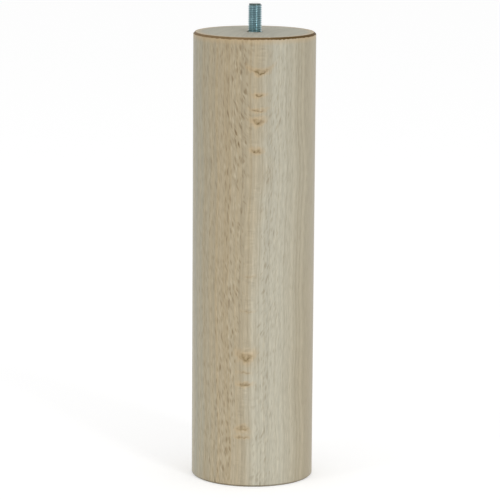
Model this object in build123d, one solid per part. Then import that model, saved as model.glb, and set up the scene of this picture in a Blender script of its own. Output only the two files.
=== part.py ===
from build123d import *
import math
import os

# Cylindrical bed leg: a turned beech cylinder with a hanger bolt screwed into the middle of its top.
# Millimetres. The origin is the centre of the foot, and +Z runs up the axis of the leg.

# Turned leg
leg_diameter = 70.0
leg_height = 258.0
top_chamfer = 1.1
foot_chamfer = 1.0

# Hanger bolt, M8 by 60: machine thread out of the leg, plain shank in the mouth of the hole, wood screw below
machine_thread_diameter = 8.0
machine_thread_length = 16.0
machine_end_chamfer = 0.9
shank_diameter = 7.1
shank_length = 8.0
wood_thread_diameter = 7.8
wood_thread_length = 36.0
point_length = 10.0
point_tip_diameter = 0.8

# Hole down the axis of the leg, drilled in two steps and then cut wider by the wood thread
mouth_clearance = 0.4
thread_seat_clearance = 0.05
pilot_diameter = 6.0
pilot_overrun = 4.0
drill_point_angle = 118.0

# Heights along the axis, each from the top face of the leg
bolt_top = leg_height + machine_thread_length
shank_bottom = leg_height - shank_length
bolt_tip = shank_bottom - wood_thread_length
point_start = bolt_tip + point_length
pilot_bottom = bolt_tip - pilot_overrun


def turned(*outline):
    """A solid of revolution about Z, from half of its section as (radius, height) points."""
    section = make_face(Polyline(*outline, close=True))
    return revolve(Plane.XZ * section, Axis.Z)


def wood_screw(growth):
    """The wood screw with its threads as their envelope, its radius grown by a clearance for the cut."""
    screw_radius = wood_thread_diameter / 2 + growth
    tip_radius = point_tip_diameter / 2 + growth
    return turned(
        (0, bolt_tip),
        (tip_radius, bolt_tip),
        (screw_radius, point_start),
        (screw_radius, shank_bottom),
        (0, shank_bottom),
    )


def hanger_bolt():
    """One steel rod: chamfered machine thread, shank of the rolling diameter, wood screw with its point."""
    thread_radius = machine_thread_diameter / 2
    machine_end = turned(
        (0, leg_height),
        (thread_radius, leg_height),
        (thread_radius, bolt_top - machine_end_chamfer),
        (thread_radius - machine_end_chamfer, bolt_top),
        (0, bolt_top),
    )
    shank_radius = shank_diameter / 2
    shank = turned(
        (0, shank_bottom),
        (shank_radius, shank_bottom),
        (shank_radius, leg_height),
        (0, leg_height),
    )
    return machine_end + shank + wood_screw(0)


def bolt_hole():
    """What is cut from the leg: wide mouth round the shank, seat of the wood thread, pilot with drill point."""
    mouth_radius = machine_thread_diameter / 2 + mouth_clearance
    mouth = turned(
        (0, shank_bottom),
        (mouth_radius, shank_bottom),
        (mouth_radius, leg_height),
        (0, leg_height),
    )
    pilot_radius = pilot_diameter / 2
    drill_point_depth = pilot_radius / math.tan(math.radians(drill_point_angle / 2))
    pilot = turned(
        (0, pilot_bottom - drill_point_depth),
        (pilot_radius, pilot_bottom),
        (pilot_radius, shank_bottom),
        (0, shank_bottom),
    )
    return mouth + pilot + wood_screw(thread_seat_clearance)


def leg_body():
    """One turned piece of beech with a broken edge at both ends and the bolt's hole in its top."""
    leg_radius = leg_diameter / 2
    blank = turned(
        (0, 0),
        (leg_radius - foot_chamfer, 0),
        (leg_radius, foot_chamfer),
        (leg_radius, leg_height - top_chamfer),
        (leg_radius - top_chamfer, leg_height),
        (0, leg_height),
    )
    return blank - bolt_hole()


os.makedirs("parts", exist_ok=True)
export_step(leg_body(), "parts/leg_body.step")
export_step(hanger_bolt(), "parts/hanger_bolt.step")
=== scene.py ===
import math
import bmesh
import bpy
from mathutils import Matrix, Vector, noise


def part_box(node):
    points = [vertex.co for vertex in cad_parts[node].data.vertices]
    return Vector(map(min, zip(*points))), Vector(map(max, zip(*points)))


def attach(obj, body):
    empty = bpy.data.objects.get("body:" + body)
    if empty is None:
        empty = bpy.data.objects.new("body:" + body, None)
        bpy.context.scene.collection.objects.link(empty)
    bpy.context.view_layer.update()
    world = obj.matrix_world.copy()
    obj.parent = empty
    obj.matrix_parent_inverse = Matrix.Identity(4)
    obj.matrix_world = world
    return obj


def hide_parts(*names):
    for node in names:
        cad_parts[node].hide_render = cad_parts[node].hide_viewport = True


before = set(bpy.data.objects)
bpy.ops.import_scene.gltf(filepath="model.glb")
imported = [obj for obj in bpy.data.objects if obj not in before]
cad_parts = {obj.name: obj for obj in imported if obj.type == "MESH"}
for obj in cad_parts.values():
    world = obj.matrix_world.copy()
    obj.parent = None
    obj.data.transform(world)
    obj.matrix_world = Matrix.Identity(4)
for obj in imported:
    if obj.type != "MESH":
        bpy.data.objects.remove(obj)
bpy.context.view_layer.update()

# The turned leg.
# One length of beech, turned to a plain cylinder, sanded along the grain and left without stain.
# The lathe scorched the small chamfer round its top. A stepped hole down its axis takes the bolt.
mm = 0.001
leg_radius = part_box("leg_body")[1].x
leg_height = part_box("leg_body")[1].z
top_chamfer = 1.1 * mm
foot_chamfer = 1.0 * mm
bolt_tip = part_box("hanger_bolt")[0].z
thread_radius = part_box("hanger_bolt")[1].x
shank_length = 8.0 * mm
screw_radius = 3.9 * mm
point_length = 10.0 * mm
point_tip_radius = 0.4 * mm
mouth_clearance = 0.4 * mm
thread_seat_clearance = 0.05 * mm
pilot_radius = 3.0 * mm
pilot_overrun = 4.0 * mm
drill_point_angle = math.radians(118)
edge_softness = 0.14 * mm
edge_support = 0.6 * mm
edge_unevenness = 0.12 * mm
long_waves = 9.0
short_waves = 31.0
short_wave_share = 0.5
leg_segments = 288
side_rings = 12
sharp_angle = math.radians(32)
merge_distance = 0.002 * mm


def spin_outline(mesh, outline, segments, turns=1, rise=0.0):
    """Spins a chain of (radius, height) points about the leg's axis. A rise per turn makes it a thread."""
    chain = [mesh.verts.new((radius, 0, height)) for radius, height in outline]
    links = [mesh.edges.new(pair) for pair in zip(chain, chain[1:])]
    bmesh.ops.spin(
        mesh, geom=chain + links, cent=(0, 0, 0), axis=(0, 0, 1), dvec=(0, 0, rise / segments),
        angle=math.tau * turns, steps=segments * turns, use_merge=rise == 0,
    )
    bmesh.ops.remove_doubles(mesh, verts=mesh.verts, dist=merge_distance)


def from_axis(point):
    """How far a point lies from the leg's axis."""
    return math.hypot(point.x, point.y)


def finished_piece(name, mesh, material, node):
    """Turns a closed bmesh into the piece that stands for a CAD node, smooth but for its sharp edges."""
    bmesh.ops.recalc_face_normals(mesh, faces=mesh.faces)
    data = bpy.data.meshes.new(name)
    mesh.to_mesh(data)
    mesh.free()
    data.shade_smooth()
    data.set_sharp_from_angle(angle=sharp_angle)
    data.materials.append(material)
    piece = bpy.data.objects.new(name, data)
    bpy.context.scene.collection.objects.link(piece)
    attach(piece, "root")
    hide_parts(node)


side_bottom = foot_chamfer + edge_support
side_top = leg_height - top_chamfer - edge_support
side_step = (side_top - side_bottom) / side_rings

# The hole takes its steps from the bolt: a mouth round the shank, the seat of the wood screw, and a pilot.
shank_bottom = leg_height - shank_length
mouth_radius = thread_radius + mouth_clearance
seat_radius = screw_radius + thread_seat_clearance
seat_bottom = bolt_tip + point_length
point_taper = (screw_radius - point_tip_radius) / point_length
pilot_top = seat_bottom - (seat_radius - pilot_radius) / point_taper
pilot_bottom = bolt_tip - pilot_overrun
drill_point_depth = pilot_radius / math.tan(drill_point_angle / 2)
rim_rings = [
    (leg_radius - foot_chamfer, 0),
    (leg_radius, foot_chamfer),
    (leg_radius, leg_height - top_chamfer),
    (leg_radius - top_chamfer, leg_height),
    (mouth_radius, leg_height),
]
leg_outline = [
    (0, 0),
    (leg_radius - foot_chamfer - edge_support, 0),
    *rim_rings[:2],
    *[(leg_radius, side_bottom + side_step * ring) for ring in range(side_rings + 1)],
    *rim_rings[2:4],
    (leg_radius - top_chamfer - edge_support, leg_height),
    (mouth_radius + edge_support, leg_height),
    rim_rings[4],
    (mouth_radius, shank_bottom),
    (seat_radius, shank_bottom),
    (seat_radius, seat_bottom),
    (pilot_radius, pilot_top),
    (pilot_radius, pilot_bottom),
    (0, pilot_bottom - drill_point_depth),
]
leg_mesh = bmesh.new()
spin_outline(leg_mesh, leg_outline, leg_segments)


def on_ring(vertex, ring):
    """Whether a vertex lies on the ring of one (radius, height) point."""
    return math.dist((from_axis(vertex.co), vertex.co.z), ring) < merge_distance


rim_edges = [
    edge for edge in leg_mesh.edges
    if any(all(on_ring(vertex, ring) for vertex in edge.verts) for ring in rim_rings)
]
bmesh.ops.bevel(
    leg_mesh, geom=rim_edges, offset=edge_softness, offset_type="OFFSET", affect="EDGES",
    segments=2, profile=0.5, material=-1,
)
for vertex in leg_mesh.verts:
    from_end = min(vertex.co.z, leg_height - vertex.co.z)
    on_rim = from_axis(vertex.co) > leg_radius - top_chamfer - edge_softness
    if on_rim and from_end < top_chamfer + edge_softness:
        around = vertex.co / leg_radius
        wobble = noise.noise(around * long_waves) + short_wave_share * noise.noise(around * short_waves)
        vertex.co.z += wobble * edge_unevenness * from_end / top_chamfer

# Sanded beech: pale tan and satin, with dark ray flecks on the flat-sawn sides, fine straight growth lines,
# and orange-brown ray flakes down the quarter-sawn line at the front. All of it is one solid pattern in the
# log's own directions: the heart of the log lies off to the right, and the rays slope back as they rise.
# Sizes in the pattern are millimetres, and strengths are shares of 1.
leg_radius_mm = leg_radius / mm
leg_height_mm = leg_height / mm
pith_distance = 99.0
ray_slope = math.radians(2.5)
ring_slope = math.radians(0.8)
fibre_wander = (1.6, 1.0, 2.0)
fibre_wander_length = 70.0
flake_line_height = 166.0
flake_line_lean = 0.0432


def linear(code):
    """The linear colour of an sRGB hex code."""
    levels = [int(code[start:start + 2], 16) / 255 for start in (1, 3, 5)]
    return [
        *(level / 12.92 if level <= 0.04045 else ((level + 0.055) / 1.055) ** 2.4 for level in levels),
        1.0,
    ]


def add(tree, kind, inputs, **settings):
    """Adds a shader node with its settings, and fills its inputs with values or with links to sockets."""
    node = tree.nodes.new("ShaderNode" + kind)
    for name, value in settings.items():
        setattr(node, name, value)
    for name, value in inputs.items():
        if isinstance(value, bpy.types.NodeSocket):
            tree.links.new(value, node.inputs[name])
        else:
            node.inputs[name].default_value = value
    return node.outputs


beech = bpy.data.materials.new("sanded_beech")
beech.use_nodes = True
wood = beech.node_tree
wood_shader = wood.nodes["Principled BSDF"]
wood_place = add(wood, "TexCoord", {})
place_mm = add(wood, "Mapping", {"Vector": wood_place["Object"], "Scale": [1 / mm] * 3})[0]
place_axes = add(wood, "SeparateXYZ", {0: place_mm})


def in_the_log(slope):
    """Millimetres from the heart, behind the leg's front, and along fibres that slope back as they rise."""
    shift = leg_radius_mm * math.cos(slope) + flake_line_height * math.sin(slope)
    upright = add(wood, "Mapping", {
        "Vector": wood_place["Object"],
        "Location": (pith_distance, shift, 0),
        "Rotation": (slope, 0, 0),
        "Scale": (-1 / mm, 1 / mm, 1 / mm),
    })[0]
    wander = add(wood, "TexNoise", {"Vector": upright, "Scale": 1 / fibre_wander_length, "Detail": 1.0},
                 normalize=False)["Color"]
    return add(wood, "VectorMath", {0: wander, 1: fibre_wander, 2: upright}, operation="MULTIPLY_ADD")[0]


# Rays run from the heart outwards. A place on one has its distance round the heart, its height along the
# fibres and its distance from the heart.
ray_sway = (0.22, 0, 0)
ray_sway_length = 7.0
ray_log = in_the_log(ray_slope)
ray_axes = add(wood, "SeparateXYZ", {0: ray_log})
ray_angle = add(wood, "Math", {0: ray_axes["Y"], 1: ray_axes["X"]}, operation="ARCTAN2")[0]
ray_arc = add(wood, "Math", {0: ray_angle, 1: pith_distance}, operation="MULTIPLY")[0]
ray_place = add(wood, "CombineXYZ", {"X": ray_arc, "Y": ray_axes["Z"], "Z": ray_axes["X"]})[0]
sway = add(wood, "TexNoise", {"Vector": place_mm, "Scale": 1 / ray_sway_length, "Detail": 1.0},
           normalize=False)["Color"]
ray_swayed = add(wood, "VectorMath", {0: sway, 1: ray_sway, 2: ray_place}, operation="MULTIPLY_ADD")[0]

# The quarter-sawn line leans to the right as it rises. The wood is warmer on its left and paler on its
# right, partly by its own tone and partly by a painted sheen of the light from the right.
# The rays graze the surface there and along a second line at the back, and a plane through both lines parts
# the side that faces the heart from the rest.
plane_slant = leg_radius_mm / pith_distance
line_place = add(wood, "Math", {0: place_axes["Z"], 1: flake_line_lean,
                                2: -flake_line_lean * flake_line_height}, operation="MULTIPLY_ADD")[0]
right_of_line = add(wood, "Math", {0: place_axes["X"], 1: line_place}, operation="SUBTRACT")[0]
line_plane = add(wood, "Math", {0: place_axes["Y"], 1: -plane_slant, 2: right_of_line},
                 operation="MULTIPLY_ADD")[0]
toward_heart = add(wood, "Math", {0: line_plane, 1: plane_slant * leg_radius_mm}, operation="SUBTRACT")[0]
off_line = add(wood, "Math", {0: toward_heart}, operation="ABSOLUTE")[0]

# Ray flecks: thin upright lenses in uneven patches, many small ones and fewer large ones, with pale ones
# between. They are strongest on the side away from the heart and fainter towards it, partly by the wood's
# own figure and partly as a painted sheen of the light from the right. They fade far from the two lines and
# hardly show along the lines themselves. Each kind has a spacing across and along, the reach of its border
# and of its full tone in shares of that spacing, the share of lenses left out, a strength, and room beside
# the lines.
fleck_kinds = {
    "fine": ((0.24, 5.0), 0.38, 0.14, 0.20, 0.60, 2.0),
    "small": ((0.46, 7.0), 0.38, 0.14, 0.10, 0.75, 4.5),
    "large": ((0.80, 11.5), 0.30, 0.10, 0.40, 0.90, 6.5),
    "pale": ((0.58, 8.5), 0.36, 0.10, 0.10, 0.70, 4.5),
}
lens_exponent = 1.4
fleck_fade = 4.5
faintest_fleck = 0.06
outer_flecks_end = -3.0
heart_flecks_start = 5.0
heart_fleck_share = 0.56
near_flecks_end = 7.0
far_flecks_start = 20.0
far_fleck_share = 0.5
patch_size = 9.0
sparse_patch = 0.34
full_patch = 0.56
sparse_patch_share = 0.50
heart_side_shift = (0, 53.0, 0)
# Painted sheen in part: the flecks are made fainter on the side towards the heart.
fleck_side_and_sheen = add(wood, "MapRange", {"Value": toward_heart, "From Min": outer_flecks_end, "To Min": 1.0,
                                    "From Max": heart_flecks_start, "To Max": heart_fleck_share})[0]
fleck_far = add(wood, "MapRange", {"Value": off_line, "From Min": near_flecks_end, "To Min": 1.0,
                                   "From Max": far_flecks_start, "To Max": far_fleck_share})[0]
patch = add(wood, "TexNoise", {"Vector": place_mm, "Scale": 1 / patch_size, "Detail": 2.0})["Fac"]
fleck_patch = add(wood, "MapRange", {"Value": patch, "From Min": sparse_patch, "From Max": full_patch,
                                     "To Min": sparse_patch_share})[0]
fleck_share = fleck_side_and_sheen
for share in (fleck_far, fleck_patch):
    fleck_share = add(wood, "Math", {0: fleck_share, 1: share}, operation="MULTIPLY")[0]

# The lenses towards the heart are taken from further along the log, so that the two sides aren't alike.
ray_side = add(wood, "Math", {0: toward_heart, 1: 0.0}, operation="GREATER_THAN")[0]
ray_apart = add(wood, "CombineXYZ", {"Y": ray_side})[0]
ray_cut = add(wood, "VectorMath", {0: ray_apart, 1: heart_side_shift, 2: ray_swayed},
              operation="MULTIPLY_ADD")[0]
flecks = {}
for kind, (spacing, border, fullest, left_out, strength, nearest) in fleck_kinds.items():
    cells = add(wood, "Mapping", {"Vector": ray_cut, "Scale": [1 / size for size in spacing] + [1]})[0]
    lens = add(wood, "TexVoronoi", {"Vector": cells, "Scale": 1.0, "Exponent": lens_exponent},
               voronoi_dimensions="2D", distance="MINKOWSKI")
    flecks[kind] = add(wood, "MapRange", {"Value": lens["Distance"], "From Min": border,
                                          "From Max": fullest}, interpolation_type="SMOOTHSTEP")[0]
    lens_draw = add(wood, "SeparateColor", {"Color": lens["Color"]})["Red"]
    depth = add(wood, "MapRange", {"Value": lens_draw, "From Min": left_out, "To Max": strength})[0]
    room = add(wood, "MapRange", {"Value": off_line, "From Min": nearest, "From Max": nearest + fleck_fade,
                                  "To Min": faintest_fleck}, interpolation_type="SMOOTHSTEP")[0]
    for share in (depth, room, fleck_share):
        flecks[kind] = add(wood, "Math", {0: flecks[kind], 1: share}, operation="MULTIPLY")[0]

# Growth rings: tone that changes from year to year, and a soft darker line of uneven strength where a year
# ends. The late wood of a year is given in shares of its ring.
ring_width = 2.9
ring_drift = 2.2
ring_drift_length = 5.0
late_wood_start = 0.35
late_wood_full = 0.85
late_wood_end = 0.86
faintest_year_line = 0.05
darkest_year_line = 0.35
ring_log = in_the_log(ring_slope)
ring_across = add(wood, "VectorMath", {0: ring_log, 1: (1, 1, 0)}, operation="MULTIPLY")[0]
ring_radius = add(wood, "VectorMath", {0: ring_across}, operation="LENGTH")["Value"]
ring_wander = add(wood, "TexNoise", {"W": ring_radius, "Scale": 1 / ring_drift_length, "Detail": 1.0},
                  noise_dimensions="1D", normalize=False)["Fac"]
ring_uneven = add(wood, "Math", {0: ring_wander, 1: ring_drift, 2: ring_radius}, operation="MULTIPLY_ADD")[0]
ring_count = add(wood, "Math", {0: ring_uneven, 1: ring_width}, operation="DIVIDE")[0]
year_share = add(wood, "Math", {0: ring_count}, operation="FRACT")[0]
year_number = add(wood, "Math", {0: ring_count}, operation="FLOOR")[0]
year_draw = add(wood, "TexWhiteNoise", {"W": year_number}, noise_dimensions="1D")["Value"]
year_strength = add(wood, "MapRange", {"Value": year_draw, "To Min": faintest_year_line,
                                       "To Max": darkest_year_line})[0]
year_rise = add(wood, "MapRange", {"Value": year_share, "From Min": late_wood_start,
                                   "From Max": late_wood_full}, interpolation_type="SMOOTHSTEP")[0]
year_fall = add(wood, "MapRange", {"Value": year_share, "From Min": 1.0, "From Max": late_wood_end},
                interpolation_type="SMOOTHSTEP")[0]
year_edge = add(wood, "Math", {0: year_rise, 1: year_fall}, operation="MULTIPLY")[0]
year_lines = add(wood, "Math", {0: year_edge, 1: year_strength}, operation="MULTIPLY")[0]

# The tone of a year, and later of a fibre, comes from a noise that seldom leaves these two levels.
noise_low = 0.25
noise_high = 0.75
year_tone_width = 4.0
year_contrast = 0.115
year_tone = add(wood, "TexNoise", {"W": ring_radius, "Scale": 1 / year_tone_width, "Detail": 4.0,
                                   "Roughness": 0.62}, noise_dimensions="1D")["Fac"]
year_light = add(wood, "MapRange", {"Value": year_tone, "From Min": noise_low, "From Max": noise_high,
                                    "To Min": 1 - year_contrast, "To Max": 1 + year_contrast})[0]

# Warm streaks run along the rings left of the line.
warm_streak_width = 3.3
warm_streak_share = 0.42
warm_streak_start = 0.40
warm_streak_full = 0.70
warm_side_full = -3.0
warm_side_end = 2.0
warm_noise = add(wood, "TexNoise", {"W": ring_radius, "Scale": 1 / warm_streak_width, "Detail": 2.0,
                                    "Roughness": 0.6}, noise_dimensions="1D")["Fac"]
warm_range = add(wood, "MapRange", {"Value": warm_noise, "From Min": warm_streak_start,
                                    "From Max": warm_streak_full, "To Max": warm_streak_share})[0]
warm_left = add(wood, "MapRange", {"Value": right_of_line, "From Min": warm_side_end,
                                   "From Max": warm_side_full})[0]
warm_streaks = add(wood, "Math", {0: warm_range, 1: warm_left}, operation="MULTIPLY")[0]

# Fibres: fine streaks, drawn half a millimetre wide so that they show.
fibre_spacing = (0.55, 7.5, 0.55)
fibre_contrast = 0.12
fibre_cells = add(wood, "Mapping", {"Vector": ray_place, "Scale": [1 / size for size in fibre_spacing]})[0]
fibre = add(wood, "TexNoise", {"Vector": fibre_cells, "Scale": 1.0, "Detail": 2.0})["Fac"]
fibre_light = add(wood, "MapRange", {"Value": fibre, "From Min": noise_low, "From Max": noise_high,
                                     "To Min": 1 - fibre_contrast, "To Max": 1 + fibre_contrast})[0]
fibre_years = add(wood, "Math", {0: year_light, 1: fibre_light}, operation="MULTIPLY")[0]

# The ray flakes on the quarter-sawn line, each with its height, half width, half height, curve and strength.
# Each is broken into specks and paler above its middle, with a ragged outline and a warm glow round it.
# Reaches from a flake's middle are in half widths and half heights.
flakes = [
    (238.6, 4.1, 1.2, 0.06, 0.95),
    (225.7, 2.4, 0.9, 0.03, 0.95),
    (216.8, 3.0, 0.7, 0.05, 0.80),
    (210.7, 2.7, 1.5, 0.06, 1.00),
    (194.0, 2.2, 1.2, 0.05, 0.95),
    (122.3, 2.2, 0.6, 0.06, 0.25),
    (102.1, 2.4, 0.6, 0.06, 0.30),
    (75.6, 3.0, 2.2, 0.09, 0.85),
    (67.0, 2.6, 0.6, 0.00, 0.40),
    (60.0, 2.8, 1.0, 0.02, 0.75),
    (34.3, 2.3, 1.5, -0.08, 0.65),
    (29.3, 2.8, 0.8, 0.00, 0.60),
]
flake_depth = 8.0
flake_border = 1.45
flake_full = 0.55
glow_border = 2.8
glow_full = 0.8
glow_strength = 0.55
pale_spot = (0.15, 0, 0.55)
pale_spot_middle = 0.1
pale_spot_border = 1.0
pale_spot_share = 0.35
ragged_reach = (1.3, 0, 1.0)
ragged_size = 2.6
speck_size = 1.5
thin_speck = 0.38
full_speck = 0.62
thin_speck_share = 0.50
ragged = add(wood, "TexNoise", {"Vector": place_mm, "Scale": 1 / ragged_size, "Detail": 1.0},
             normalize=False)["Color"]
flake_flat = add(wood, "CombineXYZ", {"X": right_of_line, "Y": place_axes["Y"], "Z": place_axes["Z"]})[0]
flake_place = add(wood, "VectorMath", {0: ragged, 1: ragged_reach, 2: flake_flat},
                  operation="MULTIPLY_ADD")[0]
flake_axes = add(wood, "SeparateXYZ", {0: flake_place})
across_squared = add(wood, "Math", {0: flake_axes["X"], 1: 2.0}, operation="POWER")[0]
speck_noise = add(wood, "TexNoise", {"Vector": place_mm, "Scale": 1 / speck_size, "Detail": 1.0})["Fac"]
specks = add(wood, "MapRange", {"Value": speck_noise, "From Min": thin_speck, "From Max": full_speck,
                                "To Min": thin_speck_share})[0]
flake_body = 0.0
flake_glow = 0.0
for flake_height, half_width, half_height, curve, strength in flakes:
    lifted = add(wood, "Math", {0: across_squared, 1: -curve, 2: flake_axes["Z"]},
                 operation="MULTIPLY_ADD")[0]
    bent = add(wood, "CombineXYZ", {"X": flake_axes["X"], "Y": flake_axes["Y"], "Z": lifted})[0]
    off_flake = add(wood, "Mapping", {
        "Vector": bent,
        "Location": (0, -leg_radius_mm, flake_height),
        "Scale": (half_width, flake_depth, half_height),
    }, vector_type="TEXTURE")[0]
    reach = add(wood, "VectorMath", {0: off_flake}, operation="LENGTH")["Value"]
    whole = add(wood, "MapRange", {"Value": reach, "From Min": flake_border, "From Max": flake_full,
                                   "To Max": strength}, interpolation_type="SMOOTHSTEP")[0]
    from_pale = add(wood, "VectorMath", {0: off_flake, 1: pale_spot}, operation="DISTANCE")["Value"]
    crescent = add(wood, "MapRange", {"Value": from_pale, "From Min": pale_spot_middle,
                                      "From Max": pale_spot_border, "To Min": pale_spot_share},
                   interpolation_type="SMOOTHSTEP")[0]
    broken = add(wood, "Math", {0: crescent, 1: specks}, operation="MULTIPLY")[0]
    ragged_flake = add(wood, "Math", {0: whole, 1: broken}, operation="MULTIPLY")[0]
    warm_ring = add(wood, "MapRange", {"Value": reach, "From Min": glow_border, "From Max": glow_full,
                                       "To Max": glow_strength * strength},
                    interpolation_type="SMOOTHSTEP")[0]
    flake_body = add(wood, "Math", {0: ragged_flake, 1: flake_body}, operation="MAXIMUM")[0]
    flake_glow = add(wood, "Math", {0: warm_ring, 1: flake_glow}, operation="MAXIMUM")[0]

# Between the flakes, and all along the line at the back, there are faint rungs: rays cut too thin to colour.
rung_spacing = (4.0, 8.0, 1.2)
rung_full = 1.5
rung_end = 5.5
rung_patch_start = 0.45
rung_patch_full = 0.60
rung_contrast = 0.16
rung_cells = add(wood, "Mapping", {"Vector": flake_flat, "Scale": [1 / size for size in rung_spacing]})[0]
rungs = add(wood, "TexNoise", {"Vector": rung_cells, "Scale": 1.0, "Detail": 1.0}, normalize=False)["Fac"]
rung_near = add(wood, "MapRange", {"Value": off_line, "From Min": rung_end, "From Max": rung_full},
                interpolation_type="SMOOTHSTEP")[0]
rung_patch = add(wood, "MapRange", {"Value": patch, "From Min": rung_patch_start,
                                    "From Max": rung_patch_full})[0]
rung_share = rungs
for share in (rung_near, rung_patch):
    rung_share = add(wood, "Math", {0: rung_share, 1: share}, operation="MULTIPLY")[0]
rung_light = add(wood, "Math", {0: rung_share, 1: rung_contrast, 2: 1.0}, operation="MULTIPLY_ADD")[0]

# The side to the right of the line is paler, partly by the wood's own tone and partly by a painted sheen of
# the light from the right, with a broad fade and a sharper one with a streaky border.
# The pale outer rings on the left are partly sapwood and partly a painted sheen where the side turns edge
# on. Both are weaker at the back.
broad_fade_start = -16.0
broad_fade_end = 8.0
broad_fade_share = 0.45
sharp_fade_start = -0.5
sharp_fade_end = 9.5
sharp_fade_share = 0.55
border_patch_size = 30.0
border_wander = 6.0
border_streaks = 5.0
pale_rings_start = 118.0
pale_rings_full = 132.0
pale_rings_share = 0.9
back_start = 4.0
back_full = 24.0
back_share = 0.45
border_noise = add(wood, "TexNoise", {"Vector": place_mm, "Scale": 1 / border_patch_size, "Detail": 2.0},
                   normalize=False)["Fac"]
border_shift = add(wood, "Math", {0: border_noise, 1: border_wander, 2: right_of_line},
                   operation="MULTIPLY_ADD")[0]
streaky = add(wood, "MapRange", {"Value": year_tone, "To Min": -border_streaks, "To Max": border_streaks})[0]
streaky_side = add(wood, "Math", {0: border_shift, 1: streaky}, operation="ADD")[0]
broad_fade = add(wood, "MapRange", {"Value": right_of_line, "From Min": broad_fade_start,
                                    "From Max": broad_fade_end, "To Max": broad_fade_share})[0]
sharp_fade = add(wood, "MapRange", {"Value": streaky_side, "From Min": sharp_fade_start,
                                    "From Max": sharp_fade_end, "To Max": sharp_fade_share},
                 interpolation_type="SMOOTHSTEP")[0]
both_fades = add(wood, "Math", {0: broad_fade, 1: sharp_fade}, operation="ADD")[0]
# The outer rings are painted paler and greyer, partly as sapwood and partly as a painted sheen at the
# grazing edge.
outer_rings = add(wood, "MapRange", {"Value": ring_radius, "From Min": pale_rings_start,
                                     "From Max": pale_rings_full, "To Max": pale_rings_share})[0]
at_front = add(wood, "MapRange", {"Value": place_axes["Y"], "From Min": back_start, "To Min": 1.0,
                                  "From Max": back_full, "To Max": back_share})[0]
pale_side_and_sheen = add(wood, "Math", {0: both_fades, 1: at_front}, operation="MULTIPLY")[0]
sapwood_and_sheen = add(wood, "Math", {0: outer_rings, 1: at_front}, operation="MULTIPLY")[0]

# The rings nearest the heart are warmer, most of all low down on the leg.
warm_years_start = 85.0
warm_years_full = 68.0
warm_high = 150.0
warm_low = 60.0
warm_high_share = 0.70
warm_low_share = 0.90
near_heart = add(wood, "MapRange", {"Value": ring_radius, "From Min": warm_years_start,
                                    "From Max": warm_years_full}, interpolation_type="SMOOTHSTEP")[0]
warm_height = add(wood, "MapRange", {"Value": place_axes["Z"], "From Min": warm_high, "From Max": warm_low,
                                     "To Min": warm_high_share, "To Max": warm_low_share})[0]
warm_years = add(wood, "Math", {0: near_heart, 1: warm_height}, operation="MULTIPLY")[0]

# The tones of the sides, laid over each other from the ground of the wood to its darkest marks.
# Among these tones, the pale side and the pale outer rings are partly painted sheen.
foot_light = 1.07
top_light = 0.93
wood_tone = linear("#AEA085")
for share, tone in (
    (pale_side_and_sheen, "#B9B4A2"),
    (sapwood_and_sheen, "#AEAA97"),
    (warm_years, "#A79B81"),
    (warm_streaks, "#B19D79"),
    (year_lines, "#897E66"),
    (flecks["pale"], "#C9BEA4"),
    (flecks["fine"], "#75603C"),
    (flecks["small"], "#6F5A36"),
    (flecks["large"], "#6A532F"),
    (flake_glow, "#BFA47C"),
    (flake_body, "#74623C"),
):
    wood_tone = add(wood, "Mix", {0: share, 6: wood_tone, 7: linear(tone)}, data_type="RGBA")[2]
height_light = add(wood, "MapRange", {"Value": place_axes["Z"], "From Max": leg_height_mm,
                                      "To Min": foot_light, "To Max": top_light})[0]
fibre_rungs = add(wood, "Math", {0: fibre_years, 1: rung_light}, operation="MULTIPLY")[0]
wood_light = add(wood, "Math", {0: fibre_rungs, 1: height_light}, operation="MULTIPLY")[0]
side_tone = add(wood, "VectorMath", {0: wood_tone, "Scale": wood_light}, operation="SCALE")[0]

# End grain: the cut ends are duller than the sides, and darker and greyer, darker as end grain is and greyer
# by a painted reflection of the white surround at a grazing angle. They are told by how far they face up or
# down.
side_facing = 0.85
end_facing = 0.97
facing = add(wood, "SeparateXYZ", {0: wood_place["Normal"]})
facing_up = add(wood, "Math", {0: facing["Z"]}, operation="ABSOLUTE")[0]
end_share = add(wood, "MapRange", {"Value": facing_up, "From Min": side_facing,
                                   "From Max": end_facing})[0]
end_rings = add(wood, "Mix", {0: year_lines, 6: linear("#9D9987"), 7: linear("#6E6858")},
                data_type="RGBA")[2]
end_grain_and_sheen_tone = add(wood, "VectorMath", {0: end_rings, "Scale": fibre_years}, operation="SCALE")[0]
cut_tone = add(wood, "Mix", {0: end_share, 6: side_tone, 7: end_grain_and_sheen_tone}, data_type="RGBA")[2]

# The scorched chamfer: brown, darker towards the right, with an uneven border and a warm pale band beside it
# that is partly a painted highlight along the arris.
# The scorch and the band each reach past the chamfer, inwards and down, and have a border of some width.
burn_reaches = ((0.15, 0.10, 0.2), (2.0, 0.8, 5.0))
band_highlight_strength = 0.75
burn_border_size = 1.4
burn_border_wander = 0.35
burn_patch_size = 12.0
burn_left = -12.0
burn_right = 24.0
palest_burn = 0.35
darkest_burn = 1.35
chamfer_start = leg_radius_mm - top_chamfer / mm
chamfer_low = leg_height_mm - top_chamfer / mm
across_mm = add(wood, "VectorMath", {0: place_mm, 1: (1, 1, 0)}, operation="MULTIPLY")[0]
from_centre = add(wood, "VectorMath", {0: across_mm}, operation="LENGTH")["Value"]
burn_border = add(wood, "TexNoise", {"Vector": place_mm, "Scale": 1 / burn_border_size, "Detail": 2.0},
                  normalize=False)["Fac"]
rim_in = add(wood, "Math", {0: burn_border, 1: burn_border_wander, 2: from_centre},
             operation="MULTIPLY_ADD")[0]
rim_up = add(wood, "Math", {0: burn_border, 1: -burn_border_wander, 2: place_axes["Z"]},
             operation="MULTIPLY_ADD")[0]
burns = []
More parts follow.
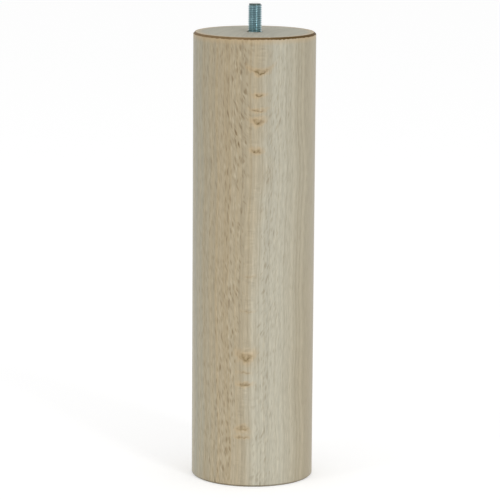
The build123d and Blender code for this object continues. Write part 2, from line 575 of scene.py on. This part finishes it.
for inward, down, softness in burn_reaches:
    inner = add(wood, "MapRange", {"Value": rim_in, "From Min": chamfer_start - inward - softness / 2,
                                   "From Max": chamfer_start - inward + softness / 2})[0]
    lower = add(wood, "MapRange", {"Value": rim_up, "From Min": chamfer_low - down - softness / 2,
                                   "From Max": chamfer_low - down + softness / 2})[0]
    burns.append(add(wood, "Math", {0: inner, 1: lower}, operation="MULTIPLY")[0])
scorch, scorch_band_highlight = burns
band_highlight_share = add(wood, "Math", {0: scorch_band_highlight, 1: band_highlight_strength}, operation="MULTIPLY")[0]
burn_patch = add(wood, "TexNoise", {"Vector": place_mm, "Scale": 1 / burn_patch_size, "Detail": 2.0})["Fac"]
burn_side = add(wood, "MapRange", {"Value": place_axes["X"], "From Min": burn_left,
                                   "From Max": burn_right})[0]
burn_depth = add(wood, "Math", {0: burn_patch, 1: burn_side}, operation="ADD")[0]
burn_share = add(wood, "MapRange", {"Value": burn_depth, "From Min": palest_burn,
                                    "From Max": darkest_burn})[0]
burn_tone = add(wood, "Mix", {0: burn_share, 6: linear("#80694A"), 7: linear("#57411F")},
                data_type="RGBA")[2]
# Painted highlight in part: a warm pale band beside the scorched chamfer.
band_highlight_tone = add(wood, "Mix", {0: band_highlight_share, 6: cut_tone, 7: linear("#C2A67C")}, data_type="RGBA")[2]
rim_tone = add(wood, "Mix", {0: scorch, 6: band_highlight_tone, 7: burn_tone}, data_type="RGBA")[2]

# The foot's chamfer: painted a little darker than the side, as painted shade on the face that looks down
# towards the floor.
foot_shade_strength = 0.55
foot_border_above = 0.25
foot_border_below = 0.1
foot_edge_clear = foot_chamfer / mm + foot_border_above
foot_edge_full = foot_chamfer / mm - foot_border_below
# Painted shade: the foot's chamfer is darkened.
foot_shade_share = add(wood, "MapRange", {"Value": place_axes["Z"], "From Min": foot_edge_clear,
                                    "From Max": foot_edge_full, "To Max": foot_shade_strength})[0]
foot_shaded_tone = add(wood, "Mix", {0: foot_shade_share, 6: rim_tone, 7: linear("#6F5F43")}, data_type="RGBA")[2]
wood.links.new(foot_shaded_tone, wood_shader.inputs["Base Color"])

# Satin where it was sanded, duller on the end grain and the scorch, and a fine relief of flecks and fibres.
smooth_fibre = 0.3
rough_fibre = 0.7
smoothest_satin = 0.46
roughest_satin = 0.56
end_roughness = 0.72
scorch_roughness = 1.0
fleck_relief = -0.6
relief_strength = 0.12
relief_depth = 0.06 * mm
satin = add(wood, "MapRange", {"Value": fibre, "From Min": smooth_fibre, "From Max": rough_fibre,
                               "To Min": smoothest_satin, "To Max": roughest_satin})[0]
gloss = add(wood, "Mix", {0: end_share, 2: satin, 3: end_roughness}, data_type="FLOAT")[0]
dull_rim = add(wood, "Mix", {0: scorch, 2: gloss, 3: scorch_roughness}, data_type="FLOAT")[0]
wood.links.new(dull_rim, wood_shader.inputs["Roughness"])
relief = add(wood, "Math", {0: flecks["large"], 1: fleck_relief, 2: fibre}, operation="MULTIPLY_ADD")[0]
bump = add(wood, "Bump", {"Height": relief, "Strength": relief_strength, "Distance": relief_depth})[0]
wood.links.new(bump, wood_shader.inputs["Normal"])
wood_shader.inputs["IOR"].default_value = 1.5
wood_shader.inputs["Specular IOR Level"].default_value = 0.3
wood_shader.inputs["Sheen Weight"].default_value = 0.2
wood_shader.inputs["Sheen Roughness"].default_value = 0.3
finished_piece("turned_leg", leg_mesh, beech, "leg_body")

# The hanger bolt.
# A steel rod with a rolled M8 machine thread at one end and a wood screw at the other, zinc plated and
# passivated blue. The wood screw is driven into the leg, and the machine thread stands out of its top.
bolt_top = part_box("hanger_bolt")[1].z
thread_pitch = 1.25 * mm
thread_root_radius = 3.3 * mm
thread_chamfer = 0.9 * mm
shank_radius = 3.55 * mm
screw_core_radius = 2.8 * mm
screw_pitch = 3.2 * mm
run_out = 0.4 * mm
bolt_segments = 64
spare_turns = 2
lead_in_turns = 1.5
loop_reach = 5 * merge_distance


def threaded_rod(low, high, tooth, pitch):
    """A bmesh of a helical thread, cut square at both heights and left open there."""
    turns = math.ceil((high - low) / pitch) + spare_turns
    start = low - pitch * lead_in_turns
    rod = bmesh.new()
    outline = [(radius, start + share * pitch) for radius, share in tooth]
    spin_outline(rod, outline, bolt_segments, turns, pitch)
    for height, normal in ((low, -1), (high, 1)):
        everything = rod.verts[:] + rod.edges[:] + rod.faces[:]
        bmesh.ops.bisect_plane(rod, geom=everything, plane_co=(0, 0, height), plane_no=(0, 0, normal),
                               clear_outer=True, dist=merge_distance)
    return rod


def loop_at(mesh, height):
    """The open edges of a mesh at one height."""
    open_edges = [edge for edge in mesh.edges if edge.is_boundary]
    return [
        edge for edge in open_edges
        if all(abs(vertex.co.z - height) < loop_reach for vertex in edge.verts)
    ]


# One tooth of each thread is a chain of points, each with its radius and its share of the pitch.
machine_tooth = [
    (thread_root_radius, 0.0),
    (thread_root_radius, 0.10),
    (thread_radius, 0.42),
    (thread_radius, 0.58),
    (thread_root_radius, 0.90),
    (thread_root_radius, 1.0),
]
bolt_mesh = threaded_rod(leg_height, bolt_top, machine_tooth, thread_pitch)
thread_chamfer_start = bolt_top - thread_chamfer
for vertex in bolt_mesh.verts:
    limit = thread_radius - max(0.0, vertex.co.z - thread_chamfer_start)
    if from_axis(vertex.co) > limit:
        vertex.co.xy *= limit / from_axis(vertex.co)
bmesh.ops.holes_fill(bolt_mesh, edges=loop_at(bolt_mesh, bolt_top), sides=0)

screw_tooth = [
    (screw_core_radius, 0.0),
    (screw_core_radius, 0.30),
    (screw_radius, 0.62),
    (screw_radius, 0.70),
    (screw_core_radius, 0.86),
    (screw_core_radius, 1.0),
]
screw_mesh = threaded_rod(bolt_tip, shank_bottom, screw_tooth, screw_pitch)
for vertex in screw_mesh.verts:
    up_the_point = min(point_length, vertex.co.z - bolt_tip)
    vertex.co.xy *= (point_tip_radius + point_taper * up_the_point) / screw_radius
bmesh.ops.holes_fill(screw_mesh, edges=loop_at(screw_mesh, bolt_tip), sides=0)
screw_data = bpy.data.meshes.new("wood_screw")
screw_mesh.to_mesh(screw_data)
screw_mesh.free()
bolt_mesh.from_mesh(screw_data)
bpy.data.meshes.remove(screw_data)

# The plain shank is bridged to both threads by a short run-out.
shank_top = leg_height - run_out
shank_foot = shank_bottom + run_out
spin_outline(bolt_mesh, [(shank_radius, shank_foot), (shank_radius, shank_top)], bolt_segments)
for end, shank_end in ((leg_height, shank_top), (shank_bottom, shank_foot)):
    bmesh.ops.bridge_loops(bolt_mesh, edges=loop_at(bolt_mesh, end) + loop_at(bolt_mesh, shank_end))

# Bright zinc with a blue passivate: a bluish grey metal, cloudy on the crests of the thread. The roots and
# the zinc next to the wood are painted paler, as painted light against the shade between the teeth and the
# dark reflection of the wood, and the chamfered end is painted dark, as a painted reflection of a dark
# surround.
cloud_size = 1.7
lit_zinc_height = 9.0
lit_zinc_gain = 1.28
dark_end_border = 0.36
dark_end_start = thread_chamfer_start / mm - dark_end_border
dark_end_full = thread_chamfer_start / mm + dark_end_border
smooth_cloud = 0.3
rough_cloud = 0.7
smoothest_plate = 0.18
roughest_plate = 0.26
zinc = bpy.data.materials.new("blue_zinc_plate")
zinc.use_nodes = True
plate = zinc.node_tree
plate_shader = plate.nodes["Principled BSDF"]
plate_place = add(plate, "TexCoord", {})["Object"]
plate_mm = add(plate, "Mapping", {"Vector": plate_place, "Scale": [1 / mm] * 3})[0]
plate_axes = add(plate, "SeparateXYZ", {0: plate_mm})
plate_across = add(plate, "VectorMath", {0: plate_mm, 1: (1, 1, 0)}, operation="MULTIPLY")[0]
plate_radius = add(plate, "VectorMath", {0: plate_across}, operation="LENGTH")["Value"]
crest = add(plate, "MapRange", {"Value": plate_radius, "From Min": thread_root_radius / mm,
                                "From Max": thread_radius / mm})[0]
cloud = add(plate, "TexNoise", {"Vector": plate_mm, "Scale": 1 / cloud_size, "Detail": 3.0})["Fac"]
crest_tone = add(plate, "Mix", {0: cloud, 6: linear("#76939A"), 7: linear("#88A5AC")}, data_type="RGBA")[2]
# The roots are painted paler than the crests, as painted light against the shade between the teeth.
plate_tone = add(plate, "Mix", {0: crest, 6: linear("#8DA9AF"), 7: crest_tone}, data_type="RGBA")[2]
# Painted light: the zinc next to the wood is painted paler, against the dark reflection of the wood's top.
painted_light_near_wood = add(plate, "MapRange", {
    "Value": plate_axes["Z"],
    "From Min": leg_height_mm,
    "From Max": leg_height_mm + lit_zinc_height,
    "To Min": lit_zinc_gain,
    "To Max": 1.0,
})[0]
stud_tone = add(plate, "VectorMath", {0: plate_tone, "Scale": painted_light_near_wood}, operation="SCALE")[0]
# Painted reflection: the chamfered end is painted dark, for a dark surround mirrored in it.
dark_end_reflection = add(plate, "MapRange", {"Value": plate_axes["Z"], "From Min": dark_end_start,
                                  "From Max": dark_end_full})[0]
bolt_tone = add(plate, "Mix", {0: dark_end_reflection, 6: stud_tone, 7: linear("#44524F")}, data_type="RGBA")[2]
plate.links.new(bolt_tone, plate_shader.inputs["Base Color"])
plate_gloss = add(plate, "MapRange", {"Value": cloud, "From Min": smooth_cloud, "From Max": rough_cloud,
                                      "To Min": smoothest_plate, "To Max": roughest_plate})[0]
plate.links.new(plate_gloss, plate_shader.inputs["Roughness"])
plate_shader.inputs["Metallic"].default_value = 1.0
finished_piece("threaded_stud", bolt_mesh, zinc, "hanger_bolt")

# The stage.
# A floor of white paper that keeps a soft shadow, an even white surround, and two soft lamps. The eye, and
# what it sees in metal, meets a whiter paper and surround than the ones that light the leg.
floor_half_width = 8.0
paper_glow = 0.34
surround_light = 0.82


def seen_by_eye(tree):
    """One for rays from the eye, straight or by way of metal and glass, and nought for the rest."""
    path = add(tree, "LightPath", {})
    seen = path["Is Camera Ray"]
    for kind in ("Is Glossy Ray", "Is Transmission Ray"):
        seen = add(tree, "Math", {0: seen, 1: path[kind]}, operation="MAXIMUM")[0]
    return seen


floor_mesh = bmesh.new()
bmesh.ops.create_grid(floor_mesh, x_segments=1, y_segments=1, size=floor_half_width)
floor_data = bpy.data.meshes.new("floor")
floor_mesh.to_mesh(floor_data)
floor_mesh.free()
floor = bpy.data.objects.new("floor", floor_data)
bpy.context.scene.collection.objects.link(floor)
paper = bpy.data.materials.new("white_paper")
paper.use_nodes = True
sheet = paper.node_tree
sheet.nodes.remove(sheet.nodes["Principled BSDF"])
lift = add(sheet, "Math", {0: seen_by_eye(sheet), 1: paper_glow}, operation="MULTIPLY")[0]
lit_paper = add(sheet, "BsdfDiffuse", {"Color": linear("#E4E4E4")})[0]
glowing_paper = add(sheet, "Emission", {"Color": (1, 1, 1, 1), "Strength": lift})[0]
both_papers = add(sheet, "AddShader", {0: lit_paper, 1: glowing_paper})[0]
sheet.links.new(both_papers, sheet.nodes["Material Output"].inputs["Surface"])
floor_data.materials.append(paper)

world = bpy.data.worlds.new("white_surround")
bpy.context.scene.world = world
world.use_nodes = True
sky = world.node_tree
sky_light = add(sky, "MapRange", {"Value": seen_by_eye(sky), "To Min": surround_light, "To Max": 1.0})[0]
sky.links.new(sky_light, sky.nodes["Background"].inputs["Strength"])
sky.nodes["Background"].inputs["Color"].default_value = (1, 1, 1, 1)


def strip_lamp(name, stand, width, height, power):
    """A tall softbox that faces the middle of the leg."""
    lamp = bpy.data.lights.new(name, "AREA")
    lamp.shape = "RECTANGLE"
    lamp.size = width
    lamp.size_y = height
    lamp.energy = power
    holder = bpy.data.objects.new(name, lamp)
    holder.location = stand
    aim = Vector((0, 0, leg_height / 2)) - Vector(stand)
    holder.rotation_euler = aim.to_track_quat("-Z", "Y").to_euler()
    bpy.context.scene.collection.objects.link(holder)


strip_lamp("key_softbox", stand=(0.86, -1.39, 0.75), width=0.36, height=1.6, power=8.0)
strip_lamp("fill_softbox", stand=(-1.30, -1.05, 0.75), width=0.30, height=1.6, power=3.5)

# The camera.
# A long lens above the leg, tipped down ten degrees, with the slight roll that the leg's outline shows.
camera_distance = 1.6753
camera_height = 0.4299
camera_pitch = math.radians(10.0934)
camera_yaw = math.radians(-0.0639)
camera_roll = math.radians(0.3958)
camera_sensor_width = 36.0
camera_lens = 212.54
camera_reach = 50.0
camera = bpy.data.objects.new("camera", bpy.data.cameras.new("camera"))
camera.data.sensor_width = camera_sensor_width
camera.data.lens = camera_lens
camera.data.clip_end = camera_reach
camera.matrix_world = (
    Matrix.Translation((0, -camera_distance, camera_height))
    @ Matrix.Rotation(-camera_yaw, 4, "Z")
    @ Matrix.Rotation(math.pi / 2 - camera_pitch, 4, "X")
    @ Matrix.Rotation(camera_roll, 4, "Z")
)
bpy.context.scene.collection.objects.link(camera)
bpy.context.scene.camera = camera
bpy.context.scene.view_settings.view_transform = "Standard"
